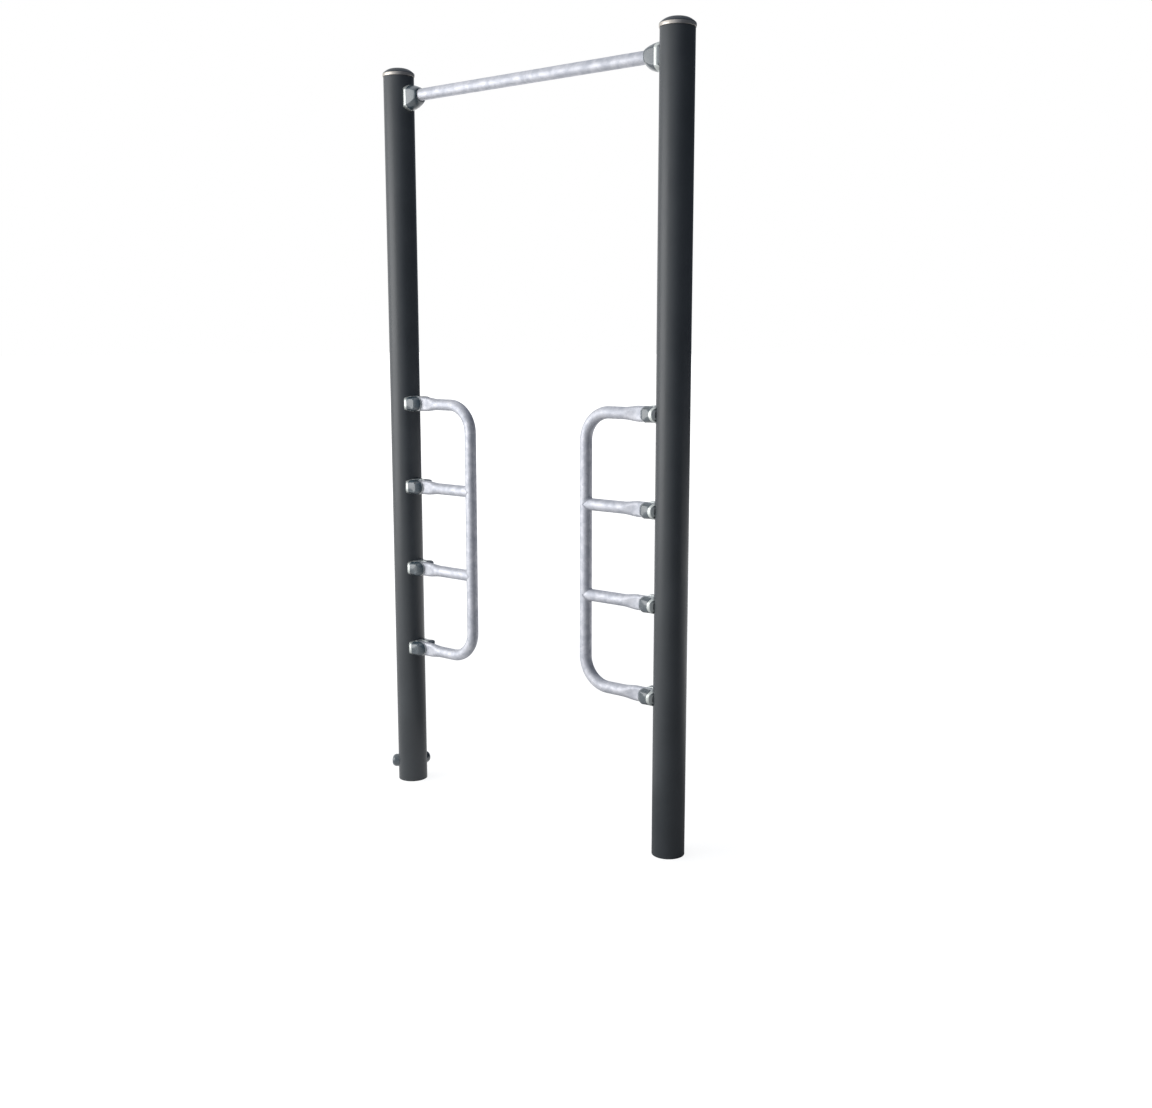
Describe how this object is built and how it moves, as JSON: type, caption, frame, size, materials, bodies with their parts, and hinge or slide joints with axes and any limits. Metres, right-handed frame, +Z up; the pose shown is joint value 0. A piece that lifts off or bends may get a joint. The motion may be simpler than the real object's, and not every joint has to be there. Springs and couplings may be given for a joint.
{
  "type": "pull-up station",
  "caption": "Free-standing outdoor station: a high steel bar between two round posts, each post with a ladder of flattened-end tube grips on its inner side.",
  "frame": {"origin": "on the ground, midway between the axes of the two posts", "axes": "+X along the bar to the right post, +Y to the rear, +Z up; the ladders lie in front of the post axes"},
  "size_m": [1.2528, 0.1258, 2.4569],
  "materials": {
    "post_coat": "fine-textured anthracite powder coat on a steel tube",
    "cap_plastic": "moulded blue-black plastic, satin",
    "cap_ring_steel": "turned stainless steel",
    "galvanised_tube": "hot-dip galvanised, dull, lightly mottled",
    "cast_bracket": "fine-blasted cast aluminium",
    "moulded_cover": "moulded grey-blue plastic, satin",
    "zinc_fasteners": "zinc-plated steel",
    "sleeve_steel": "machined steel"
  },
  "bodies": {
    "root": {"pull_up_bar": "galvanised_tube", "left_post": "post_coat", "left_cap_ring": "cap_ring_steel", "left_post_cap": "cap_plastic", "left_foot_sleeve": "sleeve_steel", "left_foot_bolts": "zinc_fasteners", "left_foot_covers": "moulded_cover", "left_bar_flange": "cast_bracket", "left_bar_cover": "moulded_cover", "left_bar_screws": "zinc_fasteners", "left_bar_lock": "zinc_fasteners", "left_grip_tube": "galvanised_tube", "left_upper_rung": "galvanised_tube", "left_lower_rung": "galvanised_tube", "left_saddle_1": "cast_bracket", "left_saddle_2": "cast_bracket", "left_saddle_3": "cast_bracket", "left_saddle_4": "cast_bracket", "left_front_cover_1": "moulded_cover", "left_front_cover_2": "moulded_cover", "left_front_cover_3": "moulded_cover", "left_front_cover_4": "moulded_cover", "left_rear_cover_1": "moulded_cover", "left_rear_cover_2": "moulded_cover", "left_rear_cover_3": "moulded_cover", "left_rear_cover_4": "moulded_cover", "left_clamp_bolts": "zinc_fasteners", "left_clamp_nuts": "zinc_fasteners", "left_saddle_screws": "zinc_fasteners", "left_rivet_nuts": "zinc_fasteners", "right_post": "post_coat", "right_cap_ring": "cap_ring_steel", "right_post_cap": "cap_plastic", "right_foot_sleeve": "sleeve_steel", "right_foot_bolts": "zinc_fasteners", "right_foot_covers": "moulded_cover", "right_bar_flange": "cast_bracket", "right_bar_cover": "moulded_cover", "right_bar_screws": "zinc_fasteners", "right_bar_lock": "zinc_fasteners", "right_grip_tube": "galvanised_tube", "right_upper_rung": "galvanised_tube", "right_lower_rung": "galvanised_tube", "right_saddle_1": "cast_bracket", "right_saddle_2": "cast_bracket", "right_saddle_3": "cast_bracket", "right_saddle_4": "cast_bracket", "right_front_cover_1": "moulded_cover", "right_front_cover_2": "moulded_cover", "right_front_cover_3": "moulded_cover", "right_front_cover_4": "moulded_cover", "right_rear_cover_1": "moulded_cover", "right_rear_cover_2": "moulded_cover", "right_rear_cover_3": "moulded_cover", "right_rear_cover_4": "moulded_cover", "right_clamp_bolts": "zinc_fasteners", "right_clamp_nuts": "zinc_fasteners", "right_saddle_screws": "zinc_fasteners", "right_rivet_nuts": "zinc_fasteners"}
  },
  "joints": []
}
